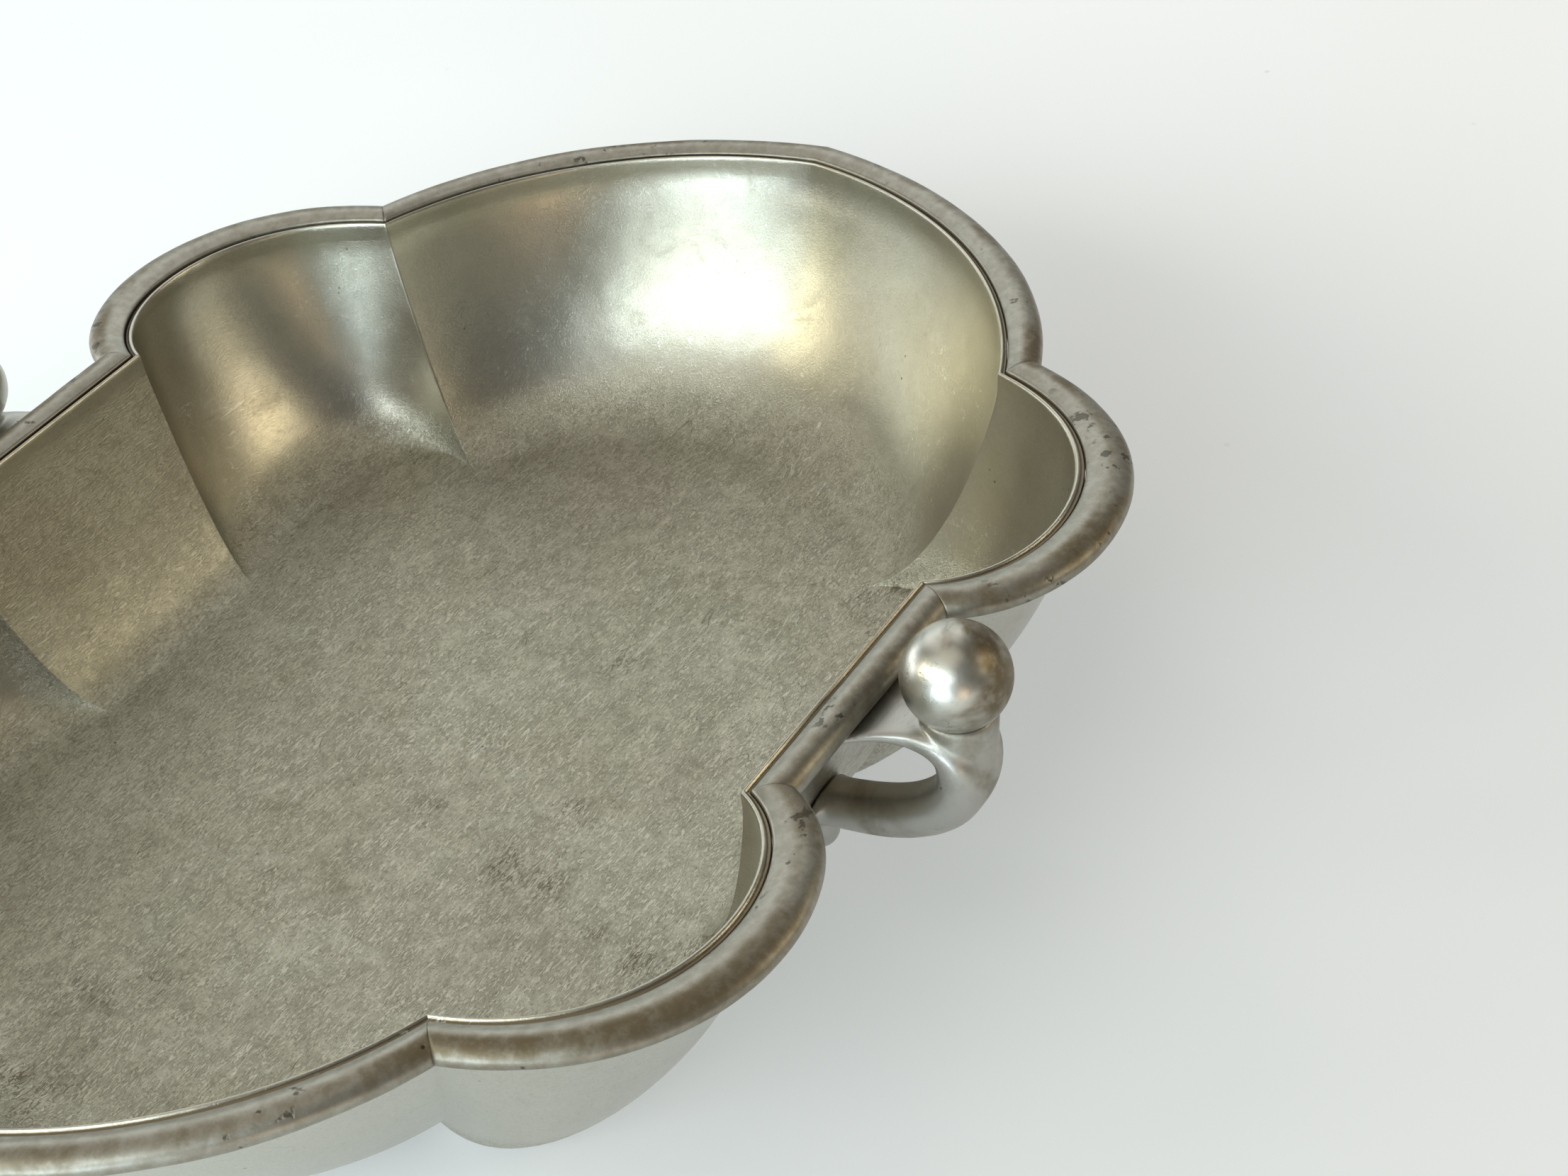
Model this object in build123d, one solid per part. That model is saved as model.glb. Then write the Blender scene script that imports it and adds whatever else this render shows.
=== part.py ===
from build123d import *
import math
import os

# Two-handled lobed pewter dish. Origin at the middle of the flat base, +Z up,
# X along the dish from blunt tip to blunt tip, Y across it from handle to handle.

# Outline of the shell at its lip, one quarter of the dish
tip_reach = 161.0                 # middle of the dish to the blunt tip of an end lobe
end_notch_x = 100.0               # notch between an end lobe and a corner lobe
end_notch_y = 84.0
side_notch_x = 31.4               # notch between a corner lobe and a handle side
side_notch_y = 103.4              # long axis of the dish to the straight handle side
tip_lean_angle = 6.7              # each half of an end lobe leans this much at the tip
end_lobe_angle = -22.0            # heading of the end lobe out of its notch
end_lobe_fullness_share = 0.355   # part of the chord for which a lobe keeps that heading
corner_lobe_end_angle = 106.0     # heading of the corner lobe out of the end notch
corner_lobe_end_share = 0.63
corner_lobe_side_angle = 65.0     # heading of the corner lobe out of the side notch
corner_lobe_side_share = 0.35

# Outline where the walls have run out into the flat floor
floor_tip_reach = 112.0
floor_end_notch_x = 80.6
floor_end_notch_y = 54.0
floor_side_notch_x = 24.0
floor_side_notch_y = 77.0
floor_lobe_end_angle = 60.0
floor_lobe_end_share = 0.65
floor_lobe_side_angle = 40.0
floor_lobe_side_share = 0.15

# Shell
lip_height = 55.6                 # table to the top of the lip
lip_band = 4.6                    # upright band behind the rim moulding
wall = 1.5
floor_thickness = 1.8
wall_steps = 6                    # levels that the curved wall passes through
wall_fullness_share = 0.54        # a smaller share brings the wall in higher up
overrun = 5.0                     # cuts run this far past what they cut

# Rim moulding, round on its back, soldered to the outside of the lip in eight lengths
rim_width = 7.2
rim_crest = 1.0                   # lip up to the crest
rim_crest_reach = 3.0             # lip out to the crest
rim_crest_flat = 0.4
rim_belly_drop = 2.0              # lip down to the widest place of the moulding
rim_belly_depth = 2.75            # roundness of the moulding below that place
rim_drop = 4.2                    # lip down to the flat underside
groove_width = 1.1                # open seam between the lip and the moulding
groove_depth = 1.1
seat_gap = 0.1                    # film of solder between two pieces

# Handle: a fan-shaped plate that thickens, turns under and comes back to the wall
plate_gap = 0.4                   # rim moulding down to the plate
plate_width = 34.6                # at the wall
bend_thickness = 11.4             # up and down through the outer bend
bend_reach = 23.8                 # handle side out to the middle of the bend
arm_drop = 26.8                   # plate down to the arm near the wall
section_round_share = 0.46        # corner radius of each section, of its smaller side
handle_lean = 5.8                 # the foot of the handle sits this far toward -X of its plate
front_handle_shift = 5.5          # the front handle sits this far off the middle of its side, toward +X
# Rows from the plate round to the arm: how far out, how far down, width, thickness, heading
loop_rows_share = (
    (-0.14, 0.000, 1.04, 0.160, 0),
    (0.21, 0.002, 0.84, 0.165, 0),
    (0.50, 0.013, 0.61, 0.230, -5),
    (0.79, 0.065, 0.51, 0.400, -20),
    (0.955, 0.175, 0.47, 0.660, -58),
    (1.005, 0.330, 0.43, 0.830, -90),
    (0.940, 0.535, 0.37, 0.870, -120),
    (0.72, 0.735, 0.33, 0.860, -141),
    (0.42, 0.865, 0.31, 0.820, -156),
    (0.07, 0.940, 0.30, 0.780, -167),
    (-0.31, 0.985, 0.30, 0.760, -172),
    (-0.75, 1.020, 0.30, 0.760, -174),
)

# Foot of the handle: a thin shield on the wall, and a drop-shaped bud under the arm
shield_width = 13.6
shield_height = 14.0
shield_thickness = 2.2
shield_top_drop = 27.5            # lip down to the top of the shield
shield_corner_share = 0.42        # corner radius, of the width
bud_radius = 4.0
bud_height = 12.0
bud_bottom_drop = 44.4            # lip down to the tip of the bud
bud_inset = 9.2                   # handle side in to the axis of the bud
bud_belly_share = 0.40            # height of the widest place, of the bud
bud_curve_share = 0.55            # roundness of the bud

# Thumb ball, cut flat underneath and soldered to a round seat on the handle
ball_radius = 10.4
ball_reach = 21.7                 # handle side out to the axis of the ball
ball_sink = 2.6                   # cut off the bottom of the ball
seat_drop = 2.8                   # lip down to the seat
seat_rim = 0.4                    # the seat is this much larger than the flat of the ball
seat_round_share = 0.49           # corner radius of the seat, of its width, which is near to round
seat_foot_share = 0.88            # the seat narrows to this much of the bend's section, inside the bend

# Bead of solder under the plate, in the corner between the plate and the wall
bead_length = 30.0
bead_leg = 2.4
bead_gap = 0.3                    # plate down to the bead


def heading(angle):
    """Unit vector in plan at an angle from +X."""
    return Vector(math.cos(math.radians(angle)), math.sin(math.radians(angle)), 0)


def between(first, second, share):
    """Point that lies a share of the way from the first point to the second."""
    return first + (second - first) * share


def grown_corner(corner, arriving, leaving, grow):
    """Corner of an anticlockwise outline once the curves beside it have moved out by grow."""
    side_a = Vector(arriving.Y, -arriving.X, 0)
    side_b = Vector(leaving.Y, -leaving.X, 0)
    return corner + (side_a + side_b) * (grow / (1 + side_a.dot(side_b)))


def lobe(start, start_heading, start_share, end, end_heading, end_share):
    """Bezier points from start to end, with both headings pointing out of their own end."""
    chord = (end - start).length
    after_start = start + start_heading * chord * start_share
    before_end = end + end_heading * chord * end_share
    return [start, after_start, before_end, end]


def quarter(tip, end_notch, side_notch, lobe_end, lobe_side, grow):
    """Curves of the end lobe, the corner lobe and half the handle side, in the quarter of +X and +Y."""
    tip_heading = heading(90 + tip_lean_angle)
    notch_heading = heading(end_lobe_angle)
    fullness = end_lobe_fullness_share
    end_heading, end_share = lobe_end
    side_heading, side_share = lobe_side
    tip = grown_corner(tip, heading(90 - tip_lean_angle), tip_heading, grow)
    end_notch = grown_corner(end_notch, -notch_heading, end_heading, grow)
    side_notch = grown_corner(side_notch, -side_heading, heading(180), grow)
    return [
        lobe(tip, tip_heading, fullness, end_notch, notch_heading, fullness),
        lobe(end_notch, end_heading, end_share, side_notch, side_heading, side_share),
        [side_notch, Vector(0, side_notch.Y, 0)],
    ]


def lip_quarter(grow):
    """Quarter of the outline at the lip, moved out by grow."""
    return quarter(
        Vector(tip_reach, 0, 0),
        Vector(end_notch_x, end_notch_y, 0),
        Vector(side_notch_x, side_notch_y, 0),
        (heading(corner_lobe_end_angle), corner_lobe_end_share),
        (heading(corner_lobe_side_angle), corner_lobe_side_share),
        grow,
    )


def floor_quarter(grow):
    """Quarter of the outline where the wall meets the floor, moved out by grow."""
    return quarter(
        Vector(floor_tip_reach, 0, 0),
        Vector(floor_end_notch_x, floor_end_notch_y, 0),
        Vector(floor_side_notch_x, floor_side_notch_y, 0),
        (heading(floor_lobe_end_angle), floor_lobe_end_share),
        (heading(floor_lobe_side_angle), floor_lobe_side_share),
        grow,
    )


def curve_edge(points, height):
    """Bezier edge through plan points, laid at a height."""
    return Bezier(*[Vector(point.X, point.Y, height) for point in points])


def whole_outline(quarter_curves, height):
    """Face of the whole outline, from the curves of one quarter and their mirror images."""
    end_lobe, corner_lobe, half_side = quarter_curves
    right = [end_lobe, corner_lobe]
    left = [[Vector(-p.X, p.Y, 0) for p in reversed(curve)] for curve in reversed(right)]
    side = [half_side[0], left[0][0]]
    half = right + [side] + left
    other_half = [[Vector(-p.X, -p.Y, 0) for p in curve] for curve in half]
    return Face(Wire([curve_edge(curve, height) for curve in half + other_half]))


def bowl_body(lip_grow, floor_grow, bottom, top):
    """Solid with the outer or inner shape of the bowl, from its flat bottom up to top."""
    lip_curves = lip_quarter(lip_grow)
    floor_curves = floor_quarter(floor_grow)
    band_bottom = lip_height - lip_band
    levels = []
    for step in range(wall_steps + 1):
        turn = math.radians(90 * step / wall_steps)
        inset_share = 1 - math.cos(turn)
        depth_share = math.sin(turn) ** (1 / wall_fullness_share)
        curves = [
            [between(p, q, inset_share) for p, q in zip(lip_curve, floor_curve)]
            for lip_curve, floor_curve in zip(lip_curves, floor_curves)
        ]
        levels.append(whole_outline(curves, band_bottom - (band_bottom - bottom) * depth_share))
    return loft(levels) + extrude(levels[0], amount=top - band_bottom, dir=(0, 0, 1))


# Shell of the dish

shell_outside = bowl_body(0, 0, 0, lip_height)
shell_inside = bowl_body(-wall, 0, floor_thickness, lip_height + overrun)
bowl_shell = shell_outside - shell_inside

# Space that the shell fills, with the film of solder round it
seat_space = bowl_body(seat_gap, seat_gap, 0, lip_height + overrun)


# Rim moulding

def rim_back(turn):
    """Reach and height over the lip of the round back, at a turn up from its widest place."""
    middle = rim_crest_reach + rim_crest_flat
    rise = rim_crest + rim_belly_drop if turn > 0 else rim_belly_depth
    reach = middle + (rim_width - middle) * math.cos(turn)
    return reach, rise * math.sin(turn) - rim_belly_drop


def rim_strip(curve, inner, outer, height):
    """Level slice of the moulding along one curve of the outline, mitred at both ends."""
    outside = curve(outer)
    inside = list(reversed(curve(inner)))
    level = lip_height + height
    edges = [curve_edge(outside, level), curve_edge([outside[-1], inside[0]], level)]
    edges += [curve_edge(inside, level), curve_edge([inside[-1], outside[0]], level)]
    return Face(Wire(edges))


def rim_layer(curve, low_turn, high_turn, steps, inner_at):
    """Part of the moulding between two turns of its round back."""
    slices = []
    for step in range(steps + 1):
        reach, height = rim_back(low_turn + (high_turn - low_turn) * step / steps)
        slices.append(rim_strip(curve, inner_at(height), reach, height))
    return loft(slices)


def rim_bevel(height):
    """Reach of the bevel that rises from the groove to the crest."""
    return groove_width + (rim_crest_reach - groove_width) * height / rim_crest


def rim_length(curve):
    """One length of moulding: its seat on the shell, the side of the groove, and the bevelled top."""
    rise = rim_crest + rim_belly_drop
    underside = -math.asin((rim_drop - rim_belly_drop) / rim_belly_depth)
    groove_floor = math.asin((rim_belly_drop - groove_depth) / rise)
    lip_level = math.asin(rim_belly_drop / rise)
    seat = rim_layer(curve, underside, groove_floor, 4, lambda height: seat_gap)
    groove_side = rim_layer(curve, groove_floor, lip_level, 2, lambda height: groove_width)
    crest = rim_layer(curve, lip_level, math.pi / 2, 3, rim_bevel)
    return seat + groove_side + crest


half_end = rim_length(lambda grow: lip_quarter(grow)[0])
rim_corner = rim_length(lambda grow: lip_quarter(grow)[1])
half_side = rim_length(lambda grow: lip_quarter(grow)[2])
rim_end = half_end + mirror(half_end, about=Plane.XZ)
rim_side = half_side + mirror(half_side, about=Plane.YZ)


# Handle, modelled at the middle of the front side, which is the side of -Y

shoulder_row = 4                  # the plate runs to this row, and the bend and arm run on from it
bend_row = 5                      # row in the middle of the bend, where the loop runs straight down
plate_thickness = bend_thickness * loop_rows_share[0][3]
plate_level = lip_height - rim_drop - plate_gap - plate_thickness / 2


def loop_section(row):
    """Rounded section of the handle's loop, square to the way the loop runs."""
    out, down, width, thickness, angle = row
    run = math.radians(angle)
    middle = Vector(-handle_lean * down, -side_notch_y - bend_reach * out, plate_level - arm_drop * down)
    section = Plane(origin=middle, x_dir=(1, 0, 0), z_dir=(0, -math.cos(run), math.sin(run)))
    across, through = plate_width * width, bend_thickness * thickness
    return section * RectangleRounded(across, through, min(across, through) * section_round_share)


def bud():
    """Drop-shaped bud, turned about an upright axis."""
    belly = bud_height * bud_belly_share
    shallow = bud_radius * bud_curve_share
    below = belly * (1 - bud_curve_share)
    above = belly + (bud_height - belly) * bud_curve_share
    tip, side, top = Vector(0, 0, 0), Vector(bud_radius, 0, belly), Vector(0, 0, bud_height)
    low = Bezier(tip, (shallow, 0, 0), (bud_radius, 0, below), side)
    high = Bezier(side, (bud_radius, 0, above), (shallow, 0, bud_height), top)
    drop = revolve(Face(Wire([low, high, Line(top, tip)])), Axis.Z)
    return Pos(-handle_lean, bud_inset - side_notch_y, lip_height - bud_bottom_drop) * drop


def shield():
    """Thin plate that follows the wall under the arm."""
    middle = lip_height - shield_top_drop - shield_height / 2
    front = Plane(origin=(-handle_lean, -side_notch_y - overrun, middle), x_dir=(1, 0, 0), z_dir=(0, 1, 0))
    corner = shield_width * shield_corner_share
    depth = side_notch_y - floor_side_notch_y + overrun
    block = extrude(front * RectangleRounded(shield_width, shield_height, corner), amount=depth)
    layer = seat_gap + shield_thickness
    return block & bowl_body(layer, layer, 0, lip_height)


def ball_seat():
    """Nearly round seat under the ball, which runs down into the middle of the bend."""
    flat_radius = math.sqrt(ball_radius**2 - (ball_radius - ball_sink) ** 2)
    across = 2 * (flat_radius + seat_rim)
    middle = Vector(0, -side_notch_y - ball_reach, lip_height - seat_drop)
    top = Plane(origin=middle, x_dir=(1, 0, 0), z_dir=(0, 0, -1))
    seat = top * RectangleRounded(across, across, across * seat_round_share)
    out, down, width, thickness, angle = loop_rows_share[bend_row]
    foot = loop_section((out, down, width * seat_foot_share, thickness * seat_foot_share, angle))
    return loft([seat, foot], ruled=True)


plate = loft([loop_section(row) for row in loop_rows_share[: shoulder_row + 1]])
bend_and_arm = loft([loop_section(row) for row in loop_rows_share[shoulder_row:]])
handle = plate + bend_and_arm + ball_seat() + shield() + bud() - seat_space

# Thumb ball
ball_height = lip_height - seat_drop - ball_sink + ball_radius
ball = Pos(0, -side_notch_y - ball_reach, ball_height) * Sphere(ball_radius)
ball = split(ball, bisect_by=Plane.XY.offset(lip_height - seat_drop), keep=Keep.TOP)

# Bead of solder
bead_top = plate_level - plate_thickness / 2 - bead_gap
bead_profile = Polyline(
    (-bead_length / 2, -side_notch_y + bead_leg, bead_top),
    (-bead_length / 2, -side_notch_y - bead_leg, bead_top),
    (-bead_length / 2, -side_notch_y + bead_leg, bead_top - 2 * bead_leg),
    close=True,
)
solder = extrude(Face(Wire(bead_profile.edges())), amount=bead_length, dir=(1, 0, 0)) - seat_space


def write(name, shape):
    """Save one piece under its node's name."""
    shape.label = name
    export_step(shape, f"parts/{name}.step")


os.makedirs("parts", exist_ok=True)
write("bowl_shell", bowl_shell)
write("rim_end_right", rim_end)
write("rim_end_left", mirror(rim_end, about=Plane.YZ))
write("rim_side_front", mirror(rim_side, about=Plane.XZ))
write("rim_side_back", rim_side)
write("rim_corner_back_right", rim_corner)
write("rim_corner_back_left", mirror(rim_corner, about=Plane.YZ))
write("rim_corner_front_right", mirror(rim_corner, about=Plane.XZ))
write("rim_corner_front_left", mirror(mirror(rim_corner, about=Plane.XZ), about=Plane.YZ))
for name, piece in (("handle", handle), ("ball", ball), ("solder", solder)):
    write(f"{name}_front", Pos(front_handle_shift, 0, 0) * piece)
    write(f"{name}_back", mirror(piece, about=Plane.XZ))
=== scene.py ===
import math

import bmesh
import bpy
import numpy as np
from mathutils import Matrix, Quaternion, Vector, noise


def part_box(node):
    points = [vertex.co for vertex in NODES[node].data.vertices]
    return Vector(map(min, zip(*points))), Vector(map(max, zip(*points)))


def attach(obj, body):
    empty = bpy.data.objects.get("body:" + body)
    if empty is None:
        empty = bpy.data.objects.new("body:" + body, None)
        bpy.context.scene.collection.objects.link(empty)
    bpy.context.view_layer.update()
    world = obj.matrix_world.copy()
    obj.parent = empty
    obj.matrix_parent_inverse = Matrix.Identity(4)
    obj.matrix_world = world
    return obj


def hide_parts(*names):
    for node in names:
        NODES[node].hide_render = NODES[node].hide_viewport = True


# Two-handled lobed pewter dish on a pale ground. The meshes are worked out in millimetres,
# and everything in the materials and the studio is in metres.
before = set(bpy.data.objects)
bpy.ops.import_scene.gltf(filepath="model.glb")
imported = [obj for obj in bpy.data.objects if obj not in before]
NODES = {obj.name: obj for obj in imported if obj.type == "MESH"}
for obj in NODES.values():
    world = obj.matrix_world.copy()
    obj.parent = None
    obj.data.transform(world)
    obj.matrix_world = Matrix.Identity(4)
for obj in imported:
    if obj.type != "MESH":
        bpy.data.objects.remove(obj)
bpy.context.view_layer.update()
MM = 0.001

# sheet and outline, in millimetres and degrees
LIP = 55.6                  # table to the top of the lip
BAND = 4.6                  # upright band behind the rim moulding
WALL = 1.5
FLOOR_THICK = 1.8
FULLNESS = 0.54             # a smaller share brings the wall in higher up
TIP_LEAN = 6.7              # each half of an end lobe leans this much at the tip
NOTCH_HEADING = -22         # heading of the end lobe out of its notch
END_LOBE_SHARE = 0.355      # part of the chord for which the end lobe keeps a heading
SIDE_Y = 103.4              # long axis of the dish to its straight sides
# tip, end notch and side notch, then the heading and share of the corner lobe out of each notch
LIP_OUTLINE = ((161, 0), (100, 84), (31.4, SIDE_Y), (106, 0.63), (65, 0.35))
FLOOR_OUTLINE = ((112, 0), (80.6, 54), (24, 77), (60, 0.65), (40, 0.15))
END_LOBE, CORNER_LOBE, HALF_SIDE = 0, 1, 2  # places of the curves in a quarter

# lip of the sheet: growth of the outline and height of each ring, up the inside, over the crest and
# down into a shallow groove at the moulding
LIP_RINGS = ((-1.5, 54.5), (-1.44, 54.95), (-1.3, 55.3), (-1.1, 55.48), (-0.9, 55.42), (-0.74, 55.24),
             (-0.6, 55.04), (-0.44, 54.94), (-0.2, 54.9), (-0.05, 54.86), (0, 54.6))
GROOVE_EDGE = -0.7          # rings that grow more than this lie in the groove
BAND_HEIGHTS = (51.8, 52.8, 53.7)  # rings up the inside of the band
UNDER_LIP = 52.8            # ring on the outside of the band
FLOOR_RINGS, INNER_RINGS, OUTER_RINGS, UNDERSIDE_RINGS = 30, 44, 34, 14
COLUMNS = (70, 56, 16)      # points along the end lobe, the corner lobe and half a straight side

# rim moulding, in millimetres out from the lip and over it
RIM_WIDTH = 7.2
RIM_BOTTOM = -4.2
BELLY_CENTRE = (3.4, -2.0)
BELLY_RADIUS = 3.8
CREST_RISE, BELLY_DROP = 3.0, 2.75  # roundness of the moulding over and under its widest place

# handles and balls, in millimetres
HANDLE_SHIFT = 5.5          # the front handle sits this far off the middle of its side
WELD_DISTANCE, VOXEL = 0.00002, 0.00042  # in metres, for the castings
SMOOTH_STEPS = 26           # rounds the castings' edges over
BALL_RADIUS = 10.4
BALL_CUT = 2.6              # height of the cap that is cut off underneath
BALL_REACH = 21.7           # straight side out to the ball's axis
SEAT_DROP = 2.8             # lip down to the ball's seat
BALL_RINGS, BALL_COLUMNS = 70, 120
BEAD_STATIONS, BEAD_ARC = 90, 12

# direction along the ground towards the right of the photo
RIGHT_X, RIGHT_Y = 0.604, -0.797


# outline
def heading(angle):
    return np.array([math.cos(math.radians(angle)), math.sin(math.radians(angle))])


def grown_corner(corner, arriving, leaving, grow):
    """Where a corner goes when both curves that meet in it move outwards by grow."""
    a = np.array([arriving[1], -arriving[0]])
    b = np.array([leaving[1], -leaving[0]])
    return np.array(corner, float) + (a + b) * grow / (1 + a @ b)


def lobe(start, start_heading, start_share, end, end_heading, end_share):
    """Control points of a curve that keeps the heading at each end for a share of its chord."""
    chord = np.linalg.norm(end - start)
    return np.array([start, start + start_heading * chord * start_share,
                     end + end_heading * chord * end_share, end])


def quarter(tip, end, side, lobe_end, lobe_side, grow):
    """Control points of the end lobe, the corner lobe and half the straight side."""
    tip_heading, notch_heading = heading(90 + TIP_LEAN), heading(NOTCH_HEADING)
    end_heading, side_heading = heading(lobe_end[0]), heading(lobe_side[0])
    tip = grown_corner(tip, heading(90 - TIP_LEAN), tip_heading, grow)
    end = grown_corner(end, -notch_heading, end_heading, grow)
    side = grown_corner(side, -side_heading, heading(180), grow)
    middle = np.array([0, side[1]])
    return [lobe(tip, tip_heading, END_LOBE_SHARE, end, notch_heading, END_LOBE_SHARE),
            lobe(end, end_heading, lobe_end[1], side, side_heading, lobe_side[1]),
            np.array([side, side + (middle - side) / 3, side + (middle - side) * 2 / 3, middle])]


def lip_quarter(grow):
    return quarter(*LIP_OUTLINE, grow)


def floor_quarter(grow):
    return quarter(*FLOOR_OUTLINE, grow)


def spread(count, pull=0.85):
    """Shares of a curve, closer together near its ends."""
    s = np.linspace(0, 1, count)
    return s - pull * np.sin(2 * np.pi * s) / (2 * np.pi)


def bezier(points, shares):
    t = shares[:, None]
    return ((1 - t)**3 * points[0] + 3 * (1 - t)**2 * t * points[1]
            + 3 * (1 - t) * t * t * points[2] + t**3 * points[3])


# mesh helpers
def link(name, data):
    obj = bpy.data.objects.new(name, data)
    bpy.context.scene.collection.objects.link(obj)
    return obj


def dress(obj, node):
    """Makes a piece of the scene stand for its node."""
    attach(obj, "root")
    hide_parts(node)


def make_object(name, points, faces, node, material):
    """Closed smooth mesh from points in millimetres, with its faces turned outwards."""
    mesh = bpy.data.meshes.new(name)
    mesh.from_pydata([tuple(p) for p in points * MM], [], faces)
    mesh.validate()
    outward = bmesh.new()
    outward.from_mesh(mesh)
    bmesh.ops.recalc_face_normals(outward, faces=outward.faces)
    outward.to_mesh(mesh)
    outward.free()
    mesh.polygons.foreach_set("use_smooth", [True] * len(mesh.polygons))
    mesh.materials.append(material)
    obj = link(name, mesh)
    dress(obj, node)
    return obj


def grid_faces(rows, cols, loop_rows=False, loop_cols=False):
    """Faces between the points of a grid whose rows or columns may close into a loop."""
    faces = []
    for r in range(rows if loop_rows else rows - 1):
        for c in range(cols if loop_cols else cols - 1):
            next_r, next_c = (r + 1) % rows, (c + 1) % cols
            faces.append((r * cols + c, r * cols + next_c, next_r * cols + next_c, next_r * cols + c))
    return faces


def ring_faces(rows, cols):
    """Faces of a closed body made of rings, with a lid on the first and the last ring."""
    lids = [tuple(range(cols))[::-1], tuple((rows - 1) * cols + c for c in range(cols))]
    return grid_faces(rows, cols, loop_cols=True) + lids


def wobble(points, *waves):
    """Smooth noise at points in millimetres: a sum of waves, each a height, a size and a seed."""
    total = 0
    for height, size, seed in waves:
        offset = Vector((seed * 17.3, seed * 5.1, seed * 9.7))
        total = total + height * np.array([noise.noise(Vector(p) / size + offset) for p in points])
    return total


def normals_of(mesh):
    normals = np.zeros(len(mesh.vertices) * 3)
    mesh.vertex_normals.foreach_get("vector", normals)
    return normals.reshape(-1, 3)


def move_points(mesh, points):
    mesh.vertices.foreach_set("co", (points * MM).ravel())
    mesh.update()


def set_attribute(obj, name, values):
    layer = obj.data.attributes.new(name, "FLOAT", "POINT")
    layer.data.foreach_set("value", np.asarray(values, np.float32))


# materials
class Nodes:
    """Short calls for building a node material."""

    def __init__(self, name):
        self.material = bpy.data.materials.new(name)
        self.material.use_nodes = True
        self.tree = self.material.node_tree
        self.shader = self.tree.nodes["Principled BSDF"]
        self.coords = self.tree.nodes.new("ShaderNodeTexCoord").outputs["Object"]

    def put(self, socket, value):
        """Links a socket to another, or gives it a plain value."""
        if isinstance(value, bpy.types.NodeSocket):
            self.tree.links.new(value, socket)
        elif value is not None:
            if socket.type == "RGBA" and len(value) == 3:
                value = (*value, 1)
            socket.default_value = value

    def mapped(self, scale=(1, 1, 1), turn=(0, 0, 0), shift=(0, 0, 0)):
        node = self.tree.nodes.new("ShaderNodeMapping")
        self.put(node.inputs["Vector"], self.coords)
        self.put(node.inputs["Scale"], scale)
        self.put(node.inputs["Rotation"], turn)
        self.put(node.inputs["Location"], shift)
        return node.outputs[0]

    def noise(self, scale, detail=3, rough=0.55, vector=None, distortion=0.0):
        node = self.tree.nodes.new("ShaderNodeTexNoise")
        self.put(node.inputs["Vector"], vector or self.coords)
        self.put(node.inputs["Scale"], scale)
        self.put(node.inputs["Detail"], detail)
        self.put(node.inputs["Roughness"], rough)
        self.put(node.inputs["Distortion"], distortion)
        return node.outputs["Fac"]

    def cells(self, scale):
        """Distance to the nearest of many scattered points, as a share of their spacing."""
        node = self.tree.nodes.new("ShaderNodeTexVoronoi")
        self.put(node.inputs["Vector"], self.coords)
        self.put(node.inputs["Scale"], scale)
        return node.outputs["Distance"]

    def ramp(self, value, low, high, out_low=0.0, out_high=1.0):
        """Smooth step from out_low at low to out_high at high."""
        node = self.tree.nodes.new("ShaderNodeMapRange")
        node.interpolation_type = "SMOOTHSTEP"
        for socket, v in zip(node.inputs[:5], (value, low, high, out_low, out_high)):
            self.put(socket, v)
        return node.outputs[0]

    def math(self, operation, a, b=None):
        node = self.tree.nodes.new("ShaderNodeMath")
        node.operation = operation
        self.put(node.inputs[0], a)
        self.put(node.inputs[1], b)
        return node.outputs[0]

    def times(self, value, *factors):
        for factor in factors:
            value = self.math("MULTIPLY", value, factor)
        return value

    def plus(self, a, b):
        return self.math("ADD", a, b)

    def minus(self, a, b):
        return self.math("SUBTRACT", a, b)

    def mix(self, share, a, b):
        """Colour a, with that share of colour b."""
        node = self.tree.nodes.new("ShaderNodeMix")
        node.data_type = "RGBA"
        self.put(node.inputs["Factor"], share)
        self.put(node.inputs["A"], a)
        self.put(node.inputs["B"], b)
        return node.outputs["Result"]

    def attribute(self, name):
        node = self.tree.nodes.new("ShaderNodeAttribute")
        node.attribute_name = name
        return node.outputs["Fac"]

    def place(self):
        """The point's x, y and z in the object's coordinates."""
        node = self.tree.nodes.new("ShaderNodeSeparateXYZ")
        self.put(node.inputs[0], self.coords)
        return [node.outputs[axis] for axis in "XYZ"]

    def rightward(self):
        """How far the point lies towards the right of the photo, in the object's coordinates."""
        x, y, _ = self.place()
        return self.plus(self.times(x, RIGHT_X), self.times(y, RIGHT_Y))

    def facing_up(self):
        """How far the surface faces up, from -1 to 1."""
        node = self.tree.nodes.new("ShaderNodeSeparateXYZ")
        self.put(node.inputs[0], self.tree.nodes.new("ShaderNodeTexCoord").outputs["Normal"])
        return node.outputs["Z"]

    def bump(self, height, strength, distance, normal=None):
        node = self.tree.nodes.new("ShaderNodeBump")
        self.put(node.inputs["Height"], height)
        self.put(node.inputs["Strength"], strength)
        self.put(node.inputs["Distance"], distance)
        if normal:
            self.put(node.inputs["Normal"], normal)
        return node.outputs[0]

    def done(self, colour, roughness, normal, metallic=1.0):
        self.put(self.shader.inputs["Base Color"], colour)
        self.put(self.shader.inputs["Roughness"], roughness)
        self.put(self.shader.inputs["Normal"], normal)
        self.put(self.shader.inputs["Metallic"], metallic)
        return self.material


def strokes(n, across, along, turn, width, seed):
    """Short curved hair-like marks: narrow ridges of a stretched noise, with sizes per metre."""
    vector = n.mapped((along, across, across), (0, 0, turn), (seed * 3.1, seed * 1.7, seed))
    value = n.noise(1.0, 1.5, 0.5, vector, 0.9)
    ridge = n.math("ABSOLUTE", n.minus(value, 0.5))
    return n.ramp(ridge, width, width * 0.3)


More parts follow.
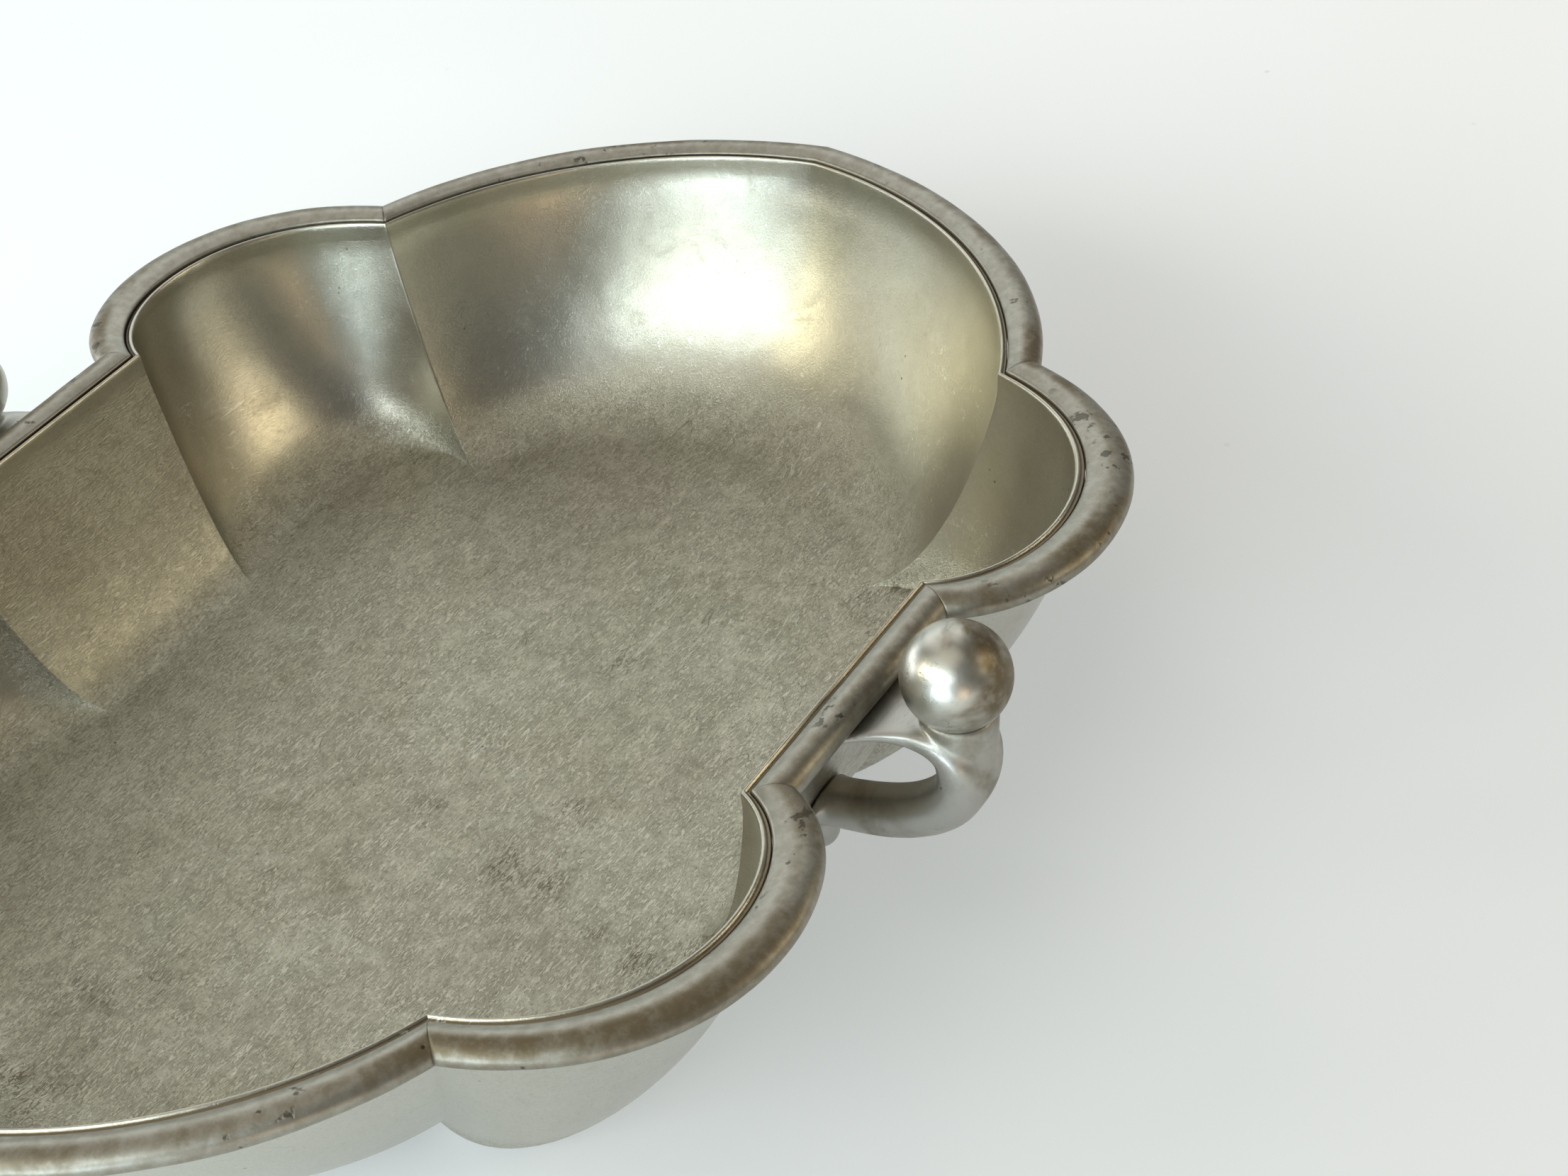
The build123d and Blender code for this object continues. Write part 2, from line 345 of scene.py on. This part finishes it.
def groove_dirt_and_shade(n):
    """Colour of the groove at the lip, dirt with painted shade that deepens towards the back: brown at the
    front, nearly black at the back.
    """
    y = n.place()[1]
    return n.mix(n.ramp(y, -0.03, 0.03), (0.20, 0.165, 0.11), (0.06, 0.048, 0.032))


def pewter(name, light, dark, roughness, stain_scale, pits, scratches, stain=(0.46, 0.72),
           painted_shade_right=None, painted_shade_heights=None, metallic=1.0):
    """Cast or turned pewter: light metal with darker stains, pits and scratches.

    Between the two distances of painted_shade_right the stains get denser towards the right, a painted shade
    on that side, and between the two heights of painted_shade_heights surfaces that face up get darker
    downwards, a painted shade under the parts above them.
    """
    n = Nodes(name)
    mottle = n.noise(stain_scale, 4, 0.55, distortion=0.4)
    # painted shade: the stains grow denser towards the right-hand side
    if painted_shade_right:
        mottle = n.plus(mottle, n.ramp(n.rightward(), *painted_shade_right, -0.04, 0.17))
    fine = n.noise(stain_scale * 8, 4, 0.6)
    grain = n.noise(2600, 3, 0.6)
    marks = n.times(strokes(n, 900, 120, 0.5, 0.03, 1), n.ramp(n.noise(130, 2), 0.50, 0.62))
    pit = n.times(n.ramp(n.cells(330), 0.15, 0.05), n.ramp(n.noise(120, 2), 0.56, 0.68))
    # share of the stains, with the painted shade on the right where it is given
    stains_and_shade = n.times(n.ramp(mottle, *stain), n.ramp(fine, 0.30, 0.60, 0.75, 1.0))
    colour = n.mix(stains_and_shade, light, dark)
    # painted shade: surfaces that face up darken downwards between the two heights, as in the shade under the
    # handle's plate
    if painted_shade_heights:
        low, high = painted_shade_heights
        ledge_shade = n.times(n.ramp(n.facing_up(), 0.15, 0.7), n.ramp(n.place()[2], high, low),
                        n.ramp(n.noise(110, 3), 0.30, 0.55, 0.6, 1.0))
        colour = n.mix(n.times(ledge_shade, 0.6), colour, (0.20, 0.17, 0.12))
    colour = n.mix(n.times(marks, 0.5 * scratches), colour, (0.12, 0.10, 0.07))
    colour = n.mix(n.times(pit, pits), colour, (0.04, 0.03, 0.02))
    rough = n.ramp(n.noise(stain_scale * 2, 3), 0.3, 0.7, -0.03, 0.03)
    rough = n.plus(n.ramp(stains_and_shade, 0, 1, *roughness), rough)
    height = n.minus(n.times(grain, 0.35), n.times(pit, 1.6))
    height = n.minus(height, n.times(marks, 0.3 * scratches))
    return n.done(colour, rough, n.bump(height, 0.25, 0.0002), metallic)


def rim_metal():
    """Pewter with a greyer inner edge, a brown tarnished middle, dark blotches and a groove darkened with
    dirt and painted shade.
    """
    n = Nodes("pewter_rim")
    reach = n.attribute("reach")
    mottle = n.noise(45, 5, 0.62, distortion=0.5)
    fine = n.noise(420, 4, 0.65)
    along = n.noise(16, 3, 0.5)
    brown = n.times(n.ramp(reach, 0.34, 0.60), n.ramp(reach, 1.04, 0.86, 0.35, 1.0),
                    n.ramp(mottle, 0.34, 0.58, 0.3, 1.0), n.ramp(fine, 0.30, 0.62, 0.7, 1.0),
                    n.ramp(along, 0.32, 0.60, 0.5, 1.0))
    blotch = n.times(n.ramp(n.noise(260, 3), 0.60, 0.66), n.ramp(n.noise(38, 2), 0.52, 0.60))
    pit = n.times(n.ramp(n.cells(300), 0.17, 0.05), n.ramp(n.noise(90, 2), 0.58, 0.70))
    pit = n.math("MAXIMUM", pit, n.times(blotch, 0.8))
    groove = n.times(n.ramp(reach, 0.045, 0.022), n.ramp(along, 0.36, 0.60, 0.6, 1.0))
    colour = n.mix(n.ramp(fine, 0.35, 0.65), (0.375, 0.36, 0.31), (0.31, 0.29, 0.24))
    colour = n.mix(brown, colour, (0.17, 0.135, 0.085))
    colour = n.mix(n.times(pit, 0.85), colour, (0.035, 0.028, 0.02))
    # the groove is darkened with dirt and with painted shade that deepens towards the back
    colour = n.mix(groove, colour, groove_dirt_and_shade(n))
    rough = n.plus(n.ramp(brown, 0, 1, 0.43, 0.55), n.times(groove, 0.3))
    height = n.minus(n.times(n.noise(1500, 3), 0.5), n.times(pit, 1.8))
    return n.done(colour, rough, n.bump(height, 0.25, 0.0002))


def shell_metal():
    """Pewter sheet, smooth on the lobes, worn and marked on the floor and the straight sides."""
    n = Nodes("pewter_shell")
    x, _, z = n.place()
    on_floor = n.ramp(z, 0.014, 0.0024)
    on_side = n.times(n.ramp(n.math("ABSOLUTE", x), 0.040, 0.028), n.ramp(z, 0.056, 0.045))
    worn = n.math("MAXIMUM", on_floor, n.times(on_side, 0.6))

    # patches
    mottle = n.noise(24, 5, 0.62, distortion=0.4)
    hue = n.noise(17, 3, 0.55, n.mapped(shift=(7, 1, 3)))
    stain = n.noise(70, 5, 0.68, n.mapped(shift=(2, 5, 1)), 0.7)
    brown = n.times(n.ramp(stain, 0.54, 0.72), n.ramp(mottle, 0.42, 0.62))
    cluster = n.ramp(n.noise(20, 3, 0.6, n.mapped(shift=(0.4, 0.9, 0))), 0.58, 0.68)

    # marks
    grain = n.noise(1500, 4, 0.8)
    marks = n.math("MAXIMUM", strokes(n, 1300, 300, 0.25, 0.075, 1), strokes(n, 1200, 330, -0.75, 0.07, 2))
    marks = n.times(marks, n.ramp(n.noise(260, 3, 0.7), 0.10, 0.70))
    dark_marks = n.times(strokes(n, 1000, 260, 0.9, 0.06, 3), cluster)
    long_hair = n.times(strokes(n, 150, 26, 0.6, 0.004, 4), n.ramp(n.noise(45, 2), 0.52, 0.60))
    scratch = n.times(strokes(n, 420, 60, 1.3, 0.012, 5), n.ramp(n.noise(26, 2), 0.54, 0.62))
    speck = n.times(n.ramp(n.cells(230), 0.10, 0.04), n.ramp(n.noise(50, 3), 0.54, 0.66))

    # colour
    wall_colour = n.mix(n.ramp(mottle, 0.36, 0.66), (0.53, 0.51, 0.435), (0.465, 0.435, 0.35))
    floor_colour = n.mix(n.ramp(mottle, 0.38, 0.66), (0.57, 0.55, 0.455), (0.505, 0.485, 0.385))
    colour = n.mix(on_floor, wall_colour, floor_colour)
    colour = n.mix(n.ramp(hue, 0.45, 0.70, 0, 0.35), colour, (0.43, 0.37, 0.31))
    colour = n.mix(n.ramp(hue, 0.48, 0.30, 0, 0.30), colour, (0.41, 0.43, 0.34))
    # painted reflection: surfaces that face down turn lighter and greyer, like the pale ground they face
    colour = n.mix(n.ramp(n.facing_up(), 0.02, -0.12, 0, 0.7), colour, (0.60, 0.59, 0.535))
    # the groove is darkened with dirt and with painted shade that deepens towards the back
    colour = n.mix(n.attribute("groove"), colour, groove_dirt_and_shade(n))
    brown_share = n.times(brown, n.ramp(n.facing_up(), 0, -0.12, 0.22, 0.5))
    grain_share = n.times(n.ramp(grain, 0.49, 0.36), n.ramp(worn, 0, 1, 0.16, 0.62))
    for share, tone in ((brown_share, (0.22, 0.18, 0.12)),
                        (grain_share, (0.24, 0.215, 0.155)),
                        (n.times(marks, n.ramp(worn, 0, 1, 0.10, 0.52)), (0.16, 0.145, 0.105)),
                        (n.times(dark_marks, n.ramp(worn, 0, 1, 0.0, 0.75)), (0.11, 0.09, 0.06)),
                        (n.times(long_hair, n.ramp(on_floor, 0, 1, 0.2, 0.5)), (0.12, 0.10, 0.07)),
                        (n.times(scratch, 0.55), (0.72, 0.71, 0.66)),
                        (n.times(speck, 0.6), (0.05, 0.04, 0.03))):
        colour = n.mix(share, colour, tone)

    # gloss and relief
    rough = n.plus(n.ramp(worn, 0, 1, 0.31, 0.50), n.times(brown, 0.12))
    rough = n.plus(rough, n.times(n.minus(n.noise(30, 3), 0.5), 0.10))
    relief = n.times(grain, n.ramp(worn, 0, 1, 0.25, 1.0))
    relief = n.minus(relief, n.times(marks, n.ramp(worn, 0, 1, 0.1, 0.9)))
    uneven = n.bump(n.noise(55, 2), 0.5, 0.0005)
    return n.done(colour, rough, n.bump(relief, 0.4, 0.00026, uneven))


RIM_METAL = rim_metal()
# painted shade: the cast and the polished pewter darken towards the right, and the cast on its upward faces
# under the plate
CAST_METAL = pewter("pewter_cast", light=(0.46, 0.45, 0.415), dark=(0.26, 0.235, 0.185),
                    roughness=(0.38, 0.50), stain_scale=60, pits=0.6, scratches=0.4,
                    painted_shade_right=(0.100, 0.109), painted_shade_heights=(0.0435, 0.0475), metallic=0.9)
BALL_METAL = pewter("pewter_polished", light=(0.57, 0.555, 0.495), dark=(0.17, 0.135, 0.085),
                    roughness=(0.36, 0.46), stain_scale=48, pits=0.3, scratches=0.8, stain=(0.43, 0.64),
                    painted_shade_right=(0.1005, 0.1100))
SOLDER_METAL = pewter("solder_rough", light=(0.24, 0.22, 0.19), dark=(0.08, 0.07, 0.055),
                      roughness=(0.5, 0.7), stain_scale=300, pits=0.9, scratches=0.2)
SHELL_METAL = shell_metal()


# bowl shell
def full_ring(curves, shares):
    """Points of the whole closed outline, anticlockwise from the tip at +X."""
    parts = [bezier(c, s) for c, s in zip(curves, shares)]
    first = np.vstack([parts[0], parts[1][1:], parts[2][1:]])
    return np.vstack([first, first[-2::-1] * (-1, 1), first[1:] * (-1, -1), first[-2:0:-1] * (1, -1)])


def sharp_share(height, bottom):
    """Share of the way from the lip's outline to the floor's, at heights below the upright band."""
    depth = np.clip((LIP - BAND - height) / (LIP - BAND - bottom), 0, 1)
    return 1 - np.sqrt(1 - depth ** (2 * FULLNESS))


def wall_share(height, bottom):
    """The same share, with the foot of the band rounded over."""
    reach, blend_from, blend_over = 3.2, 22, 18
    offsets = np.linspace(-2, 2, 17)
    weights = np.exp(-offsets ** 2 / 2)
    soft = (weights * sharp_share(height + reach * offsets, bottom)).sum() / weights.sum()
    blend = np.clip((height - blend_from) / blend_over, 0, 1)
    blend = blend * blend * (3 - 2 * blend)
    return float(sharp_share(height, bottom) * (1 - blend) + soft * blend)


def level(height, lip_grow, floor_grow, bottom):
    """Curves of the wall at a height."""
    share = wall_share(height, bottom)
    return [a + (b - a) * share for a, b in zip(lip_quarter(lip_grow), floor_quarter(floor_grow))]


def wall_heights(count, bottom):
    """Heights up the wall, closer together near its foot and its top."""
    turns = np.linspace(math.pi / 2, 0, count)
    return LIP - BAND - (LIP - BAND - bottom) * np.sin(turns) ** (1 / FULLNESS)


def sheet_rings():
    """Curves, height and scale of each ring, from the middle of the floor over the lip to the underside."""
    floor, underside = level(FLOOR_THICK, -WALL, 0, FLOOR_THICK), level(0, 0, 0, 0)
    inner_heights = (*wall_heights(INNER_RINGS, FLOOR_THICK), *BAND_HEIGHTS)
    outer_heights = (UNDER_LIP, *wall_heights(OUTER_RINGS, 0)[::-1])
    rings = [(floor, FLOOR_THICK, scale) for scale in np.linspace(0.03, 0.985, FLOOR_RINGS)]
    rings += [(level(z, -WALL, 0, FLOOR_THICK), z, 1) for z in inner_heights]
    rings += [(lip_quarter(grow), z, 1) for grow, z in LIP_RINGS]
    rings += [(level(z, 0, 0, 0), z, 1) for z in outer_heights]
    rings += [(underside, 0, scale) for scale in np.linspace(0.97, 0.03, UNDERSIDE_RINGS)]
    return rings


def blunted(x, y, z):
    """X with the tips of the end lobes rounded off: a little at the lip, and more from 9 mm below it."""
    at_lip, added_below = 1.2, 7.5
    blunt = at_lip + added_below * np.clip((54.5 - z) / 9, 0, 1)
    on_end = np.clip((np.abs(x) - 60) / 40, 0, 1)
    lean = math.tan(math.radians(TIP_LEAN))
    return x - np.sign(x) * on_end * lean * (np.sqrt(y * y + blunt * blunt) - np.abs(y))


def crease_columns(count):
    """Columns of the rings that lie on the creases beside the corner lobes."""
    half = count // 2
    first = COLUMNS[END_LOBE] - 1
    second = first + COLUMNS[CORNER_LOBE] - 1
    return [column for k in (first, second) for column in (k, half - k, half + k, count - k)]


def build_shell():
    """The sheet, with its creases softened a little and its surface slightly uneven."""
    shares = [spread(COLUMNS[END_LOBE]), spread(COLUMNS[CORNER_LOBE]), spread(COLUMNS[HALF_SIDE], 0.5)]
    outlines, heights = [], []
    for curves, z, scale in sheet_rings():
        outlines.append(full_ring(curves, shares) * scale)
        heights.append(z)
    rows, count = len(outlines), len(outlines[0])
    grid = np.dstack([np.array(outlines), np.repeat(np.array(heights)[:, None], count, 1)])
    grid[..., 0] = blunted(grid[..., 0], grid[..., 1], grid[..., 2])
    creases = crease_columns(count)
    near = np.array([c + d for c in creases for d in (-1, 0, 1)])
    grid[:, near] = (grid[:, near - 1] + 4 * grid[:, near] + grid[:, near + 1]) / 6

    points = grid.reshape(-1, 3)
    faces = ring_faces(rows, count)
    obj = make_object("bowl_sheet", points, faces, "bowl_shell", SHELL_METAL)
    for edge in obj.data.edges:
        columns = {v % count for v in edge.vertices}
        edge.use_edge_sharp = len(columns) == 1 and columns.issubset(creases)

    row = np.repeat(np.arange(rows), count)
    lift = wobble(points, (0.22, 38, 1), (0.05, 13, 2))
    lift = np.where(row < FLOOR_RINGS + INNER_RINGS, lift, 0.6 * lift)
    flat = (points[:, 2] < 0.3) | (row >= rows - UNDERSIDE_RINGS - 2)
    lift[flat] = 0
    moved = points - normals_of(obj.data) * lift[:, None]
    moved[:, 2] = np.maximum(moved[:, 2], 0)
    move_points(obj.data, moved)

    first_lip_row = FLOOR_RINGS + INNER_RINGS + len(BAND_HEIGHTS)
    groove_rows = [first_lip_row + k for k, (grow, _) in enumerate(LIP_RINGS) if grow > GROOVE_EDGE]
    set_attribute(obj, "groove", np.isin(row, groove_rows))


build_shell()


# rim moulding
def rim_profile():
    """Closed section of the moulding: reach from the lip, and height over it."""
    points = [(0.1, RIM_BOTTOM), (0.1, -2.6), (0.1, -1.4), (0.1, -0.85), (0.15, -0.5), (0.26, -0.24),
              (0.42, -0.06), (0.62, 0.1), (0.86, 0.22), (1.2, 0.38), (1.7, 0.62), (2.3, 0.83), (2.9, 0.95),
              (3.5, 0.98)]
    reach, height = BELLY_CENTRE
    for turns, rise in (((78, 68, 58, 48, 38, 28, 18, 8), CREST_RISE),
                        ((-4, -14, -24, -34, -44), BELLY_DROP)):
        for turn in np.radians(turns):
            points.append((reach + BELLY_RADIUS * math.cos(turn), rise * math.sin(turn) + height))
    points += [(5.9, -4.1), (5.4, RIM_BOTTOM), (4.0, RIM_BOTTOM), (2.0, RIM_BOTTOM)]
    return points


PROFILE = rim_profile()


def build_rim(name, node, curve, count, seed, flips):
    """Sweeps the section along one curve of a quarter, or along two that meet at a mirror line.

    Each flip is the signs of x and y, and whether the curve is followed from its far end.
    """
    shares = spread(count, 0.6)
    columns = []
    for reach, height in PROFILE:
        line = []
        for x_sign, y_sign, backwards in flips:
            points = bezier(lip_quarter(reach)[curve], shares) * (x_sign, y_sign)
            points = points[::-1] if backwards else points
            line.append(points[1:] if line else points)
        line = np.vstack(line)
        columns.append(np.column_stack([line, np.full(len(line), LIP + height)]))
    grid = np.array(columns)
    rows, cols = grid.shape[:2]
    points = grid.reshape(-1, 3)
    ends = [tuple(r * cols for r in range(rows)), tuple(r * cols + cols - 1 for r in range(rows))[::-1]]
    faces = grid_faces(rows, cols, loop_rows=True) + ends
    obj = make_object(name, points, faces, node, RIM_METAL)
    reach, height = (np.repeat(values, cols) for values in zip(*PROFILE))
    outer = (reach > 1.0) & (height > -4.0)
    lift = np.where(outer, wobble(points, (0.12, 14, seed), (0.025, 4, seed + 1)), 0)
    move_points(obj.data, points + normals_of(obj.data) * lift[:, None])
    set_attribute(obj, "reach", reach / RIM_WIDTH)


for end, sx in (("right", 1), ("left", -1)):
    build_rim(f"rim_end_{end}_strip", f"rim_end_{end}", END_LOBE, count=90, seed=11 + sx,
              flips=[(sx, -1, True), (sx, 1, False)])
    for side, sy in (("back", 1), ("front", -1)):
        build_rim(f"rim_corner_{side}_{end}_strip", f"rim_corner_{side}_{end}", CORNER_LOBE, count=80,
                  seed=21 + 2 * sx + sy, flips=[(sx, sy, False)])
for side, sy in (("back", 1), ("front", -1)):
    build_rim(f"rim_side_{side}_strip", f"rim_side_{side}", HALF_SIDE, count=30, seed=31 + sy,
              flips=[(1, sy, False), (-1, sy, True)])


# handles, balls and solder
def cast_handle(side, sy):
    """The handle's solid with its edges rounded over and its surface slightly uneven."""
    name = f"handle_{side}_casting"
    mesh = NODES[f"handle_{side}"].data.copy()
    mesh.name = name
    mesh.materials.clear()
    mesh.materials.append(CAST_METAL)
    obj = link(name, mesh)
    dress(obj, f"handle_{side}")
    weld = obj.modifiers.new("weld", "WELD")
    weld.merge_threshold = WELD_DISTANCE
    remesh = obj.modifiers.new("remesh", "REMESH")
    remesh.mode = "VOXEL"
    remesh.voxel_size = VOXEL
    smooth = obj.modifiers.new("smooth", "SMOOTH")
    smooth.iterations = SMOOTH_STEPS
    smooth.factor = 0.5
    graph = bpy.context.evaluated_depsgraph_get()
    mesh = bpy.data.meshes.new_from_object(obj.evaluated_get(graph))
    obj.modifiers.clear()
    obj.data = mesh
    mesh.polygons.foreach_set("use_smooth", [True] * len(mesh.polygons))
    points = np.zeros(len(mesh.vertices) * 3)
    mesh.vertices.foreach_get("co", points)
    points = points.reshape(-1, 3) / MM
    lift = wobble(points, (0.08, 10, 41 + sy), (0.02, 3.5, 43))
    move_points(mesh, points + normals_of(mesh) * lift[:, None])


def thumb_ball(side, sy, shift):
    """A ball that is cut flat underneath."""
    angles = np.linspace(0, 2 * math.pi, BALL_COLUMNS, endpoint=False)

    def ring(radius, height):
        heights = np.full(BALL_COLUMNS, height)
        return np.column_stack([radius * np.cos(angles), radius * np.sin(angles), heights])

    flat_height = -(BALL_RADIUS - BALL_CUT)
    edge = math.acos(flat_height / BALL_RADIUS)
    rings = [ring(BALL_RADIUS * math.sin(turn), BALL_RADIUS * math.cos(turn))
             for turn in edge * np.linspace(0.02, 1, BALL_RINGS)]
    rings += [ring(BALL_RADIUS * math.sin(edge) * share, flat_height) for share in (0.985, 0.9, 0.5)]
    points = np.vstack(rings)
    uneven = np.repeat(np.arange(len(rings)) < BALL_RINGS - 4, BALL_COLUMNS)
    lift = np.where(uneven, wobble(points, (0.08, 9, 51 + sy), (0.015, 3, 53)), 0)
    points = points + points / BALL_RADIUS * lift[:, None]
    centre = np.array([shift, sy * (SIDE_Y + BALL_REACH), LIP - SEAT_DROP - BALL_CUT + BALL_RADIUS])
    faces = ring_faces(len(rings), BALL_COLUMNS)
    make_object(f"ball_{side}_turned", points + centre, faces, f"ball_{side}", BALL_METAL)


def solder_bead(side, sy):
    """A lumpy fillet in the box of its solid, in the corner between the wall and the plate."""
    lowest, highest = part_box(f"solder_{side}")
    low, high = np.array(lowest) / MM, np.array(highest) / MM
    wall_y, edge_y = (low[1], high[1]) if sy > 0 else (high[1], low[1])
    middle_x, half_length = (low[0] + high[0]) / 2, (high[0] - low[0]) / 2
    rings = []
    for x in np.linspace(low[0], high[0], BEAD_STATIONS):
        size = 0.25 + 0.6 * (1 - abs((x - middle_x) / half_length) ** 8)
        reach, drop = (edge_y - wall_y) * size, (high[2] - low[2]) * size
        arc = [(x, wall_y + reach * math.cos(t), high[2] - drop * math.sin(t))
               for t in np.linspace(0, math.pi / 2, BEAD_ARC)]
        rings.append(arc + [(x, wall_y, high[2])])
    points = np.vstack(rings)
    away = points - (0, wall_y, high[2])
    away[:, 0] = 0
    away /= np.maximum(np.linalg.norm(away, axis=1), 1e-6)[:, None]
    points = points + away * wobble(points, (0.35, 2.2, 61 + sy), (0.18, 0.9, 63))[:, None]
    points[:, 2] = np.minimum(points[:, 2], high[2])
    faces = ring_faces(BEAD_STATIONS, BEAD_ARC + 1)
    make_object(f"solder_{side}_bead", points, faces, f"solder_{side}", SOLDER_METAL)


for side, sy, shift in (("front", -1, HANDLE_SHIFT), ("back", 1, 0.0)):
    cast_handle(side, sy)
    thumb_ball(side, sy, shift)
    solder_bead(side, sy)


# studio
def stage_plane(name, location, turn):
    """Pale ground: lit a little by the lamps, and seen by the camera and in reflections with its own glow, a
    painted light that is brighter and bluer towards the left and dimmer near the dish as a painted shadow.
    """
    reach = 4
    corners = [(-reach, -reach, 0), (reach, -reach, 0), (reach, reach, 0), (-reach, reach, 0)]
    mesh = bpy.data.meshes.new(name)
    mesh.from_pydata(corners, [], [(0, 1, 2, 3)])
    obj = link(name, mesh)
    obj.location = location
    obj.rotation_euler = turn
    n = Nodes(name)
    x, y, _ = n.place()
    # painted light: the glow is brighter and bluer towards the left of the ground
    glow = n.mix(n.ramp(n.rightward(), -0.42, 0.40), (0.56, 0.65, 0.67), (0.50, 0.515, 0.52))
    # painted shadow: the glow dims near the dish, from 0.34 m in to 0.12 m from its middle
    away = n.math("SQRT", n.plus(n.math("POWER", n.minus(x, 0.05), 2), n.math("POWER", n.plus(y, 0.08), 2)))
    strength = n.times(n.ramp(n.noise(5, 3), 0.3, 0.7, 0.985, 1.015), n.ramp(away, 0.12, 0.34, 0.66, 1.0))
    path = n.tree.nodes.new("ShaderNodeLightPath")
    seen = n.math("MAXIMUM", path.outputs["Is Camera Ray"], path.outputs["Is Glossy Ray"])
    n.put(n.shader.inputs["Emission Color"], glow)
    n.put(n.shader.inputs["Emission Strength"], n.times(seen, strength))
    n.put(n.shader.inputs["Specular IOR Level"], 0.1)
    dust = n.times(n.ramp(n.cells(55), 0.055, 0.03), n.ramp(n.noise(9, 2), 0.58, 0.62))
    tint = n.mix(n.times(dust, 0.5), (0.50, 0.495, 0.485), (0.20, 0.20, 0.20))
    mesh.materials.append(n.done(tint, 0.8, n.bump(n.noise(900, 2), 0.05, 0.0002), 0.0))


stage_plane("floor", (0, 0, -0.0002), (0, 0, 0))
stage_plane("backdrop", (3.2, 2.4, 0), (math.radians(90), 0, math.radians(-53)))


def area_light(name, direction, distance, width, height, power, colour):
    """A rectangular lamp in that direction from the dish, turned to face it."""
    data = bpy.data.lights.new(name, "AREA")
    data.shape = "RECTANGLE"
    data.size, data.size_y = width, height
    data.energy = power
    data.color = colour
    obj = link(name, data)
    obj.location = Vector(direction).normalized() * distance
    obj.rotation_euler = (-obj.location).to_track_quat("-Z", "Y").to_euler()


# name, direction, distance, width, height, watts and colour of the lamps that stand in for the room
for lamp in (
        ("window", (-0.80, 0.07, 0.60), 1.5, 1.30, 0.50, 12.5, (0.84, 0.96, 1.0)),
        ("window_warm_side", (-0.60, 0.64, 0.52), 1.6, 0.42, 0.5, 4.6, (1.0, 0.96, 0.72)),
        ("room_right", (0.43, -0.80, 0.48), 1.6, 0.75, 0.46, 4.2, (1.0, 0.88, 0.62)),
        ("wall_right", (-0.10, 0.99, 0.13), 1.7, 1.3, 0.7, 8.5, (0.92, 0.98, 1.0)),
        ("ceiling", (0.50, 0.48, 0.72), 1.7, 1.9, 1.6, 7.8, (1.0, 0.99, 0.95)),
        ("overhead", (-0.25, 0.05, 1.0), 1.6, 1.3, 1.3, 3.4, (1.0, 0.94, 0.80)),
        ("low_left", (-0.98, -0.07, 0.10), 1.6, 0.62, 0.28, 10.5, (0.72, 0.89, 1.0)),
        ("lamp_spot", (-0.69, -0.71, 0.09), 1.6, 0.10, 0.3, 1.1, (1.0, 0.70, 0.42))):
    area_light(*lamp)

world = bpy.data.worlds.new("studio")
bpy.context.scene.world = world
world.use_nodes = True
background = world.node_tree.nodes["Background"]
background.inputs["Color"].default_value = (1.0, 0.98, 0.93, 1)
background.inputs["Strength"].default_value = 0.15

# camera, fitted to the perspective of the dish in the photo
CAMERA_PLACE = Vector((-0.304944, -0.325077, 0.378436))
CAMERA_TARGET = Vector((0.045057, -0.059652, 0.030))
CAMERA_ROLL = -8.6136
FOCAL_LENGTH, SENSOR_WIDTH = 62.1256, 36

camera_data = bpy.data.cameras.new("camera")
camera_data.sensor_width = SENSOR_WIDTH
camera_data.lens = FOCAL_LENGTH
camera_data.clip_start = 0.01
camera = link("camera", camera_data)
camera.location = CAMERA_PLACE
aim = (CAMERA_TARGET - CAMERA_PLACE).to_track_quat("-Z", "Y")
camera.rotation_euler = (aim @ Quaternion((0, 0, 1), math.radians(CAMERA_ROLL))).to_euler()
bpy.context.scene.camera = camera
bpy.context.scene.view_settings.view_transform = "Standard"

bpy.context.view_layer.update()
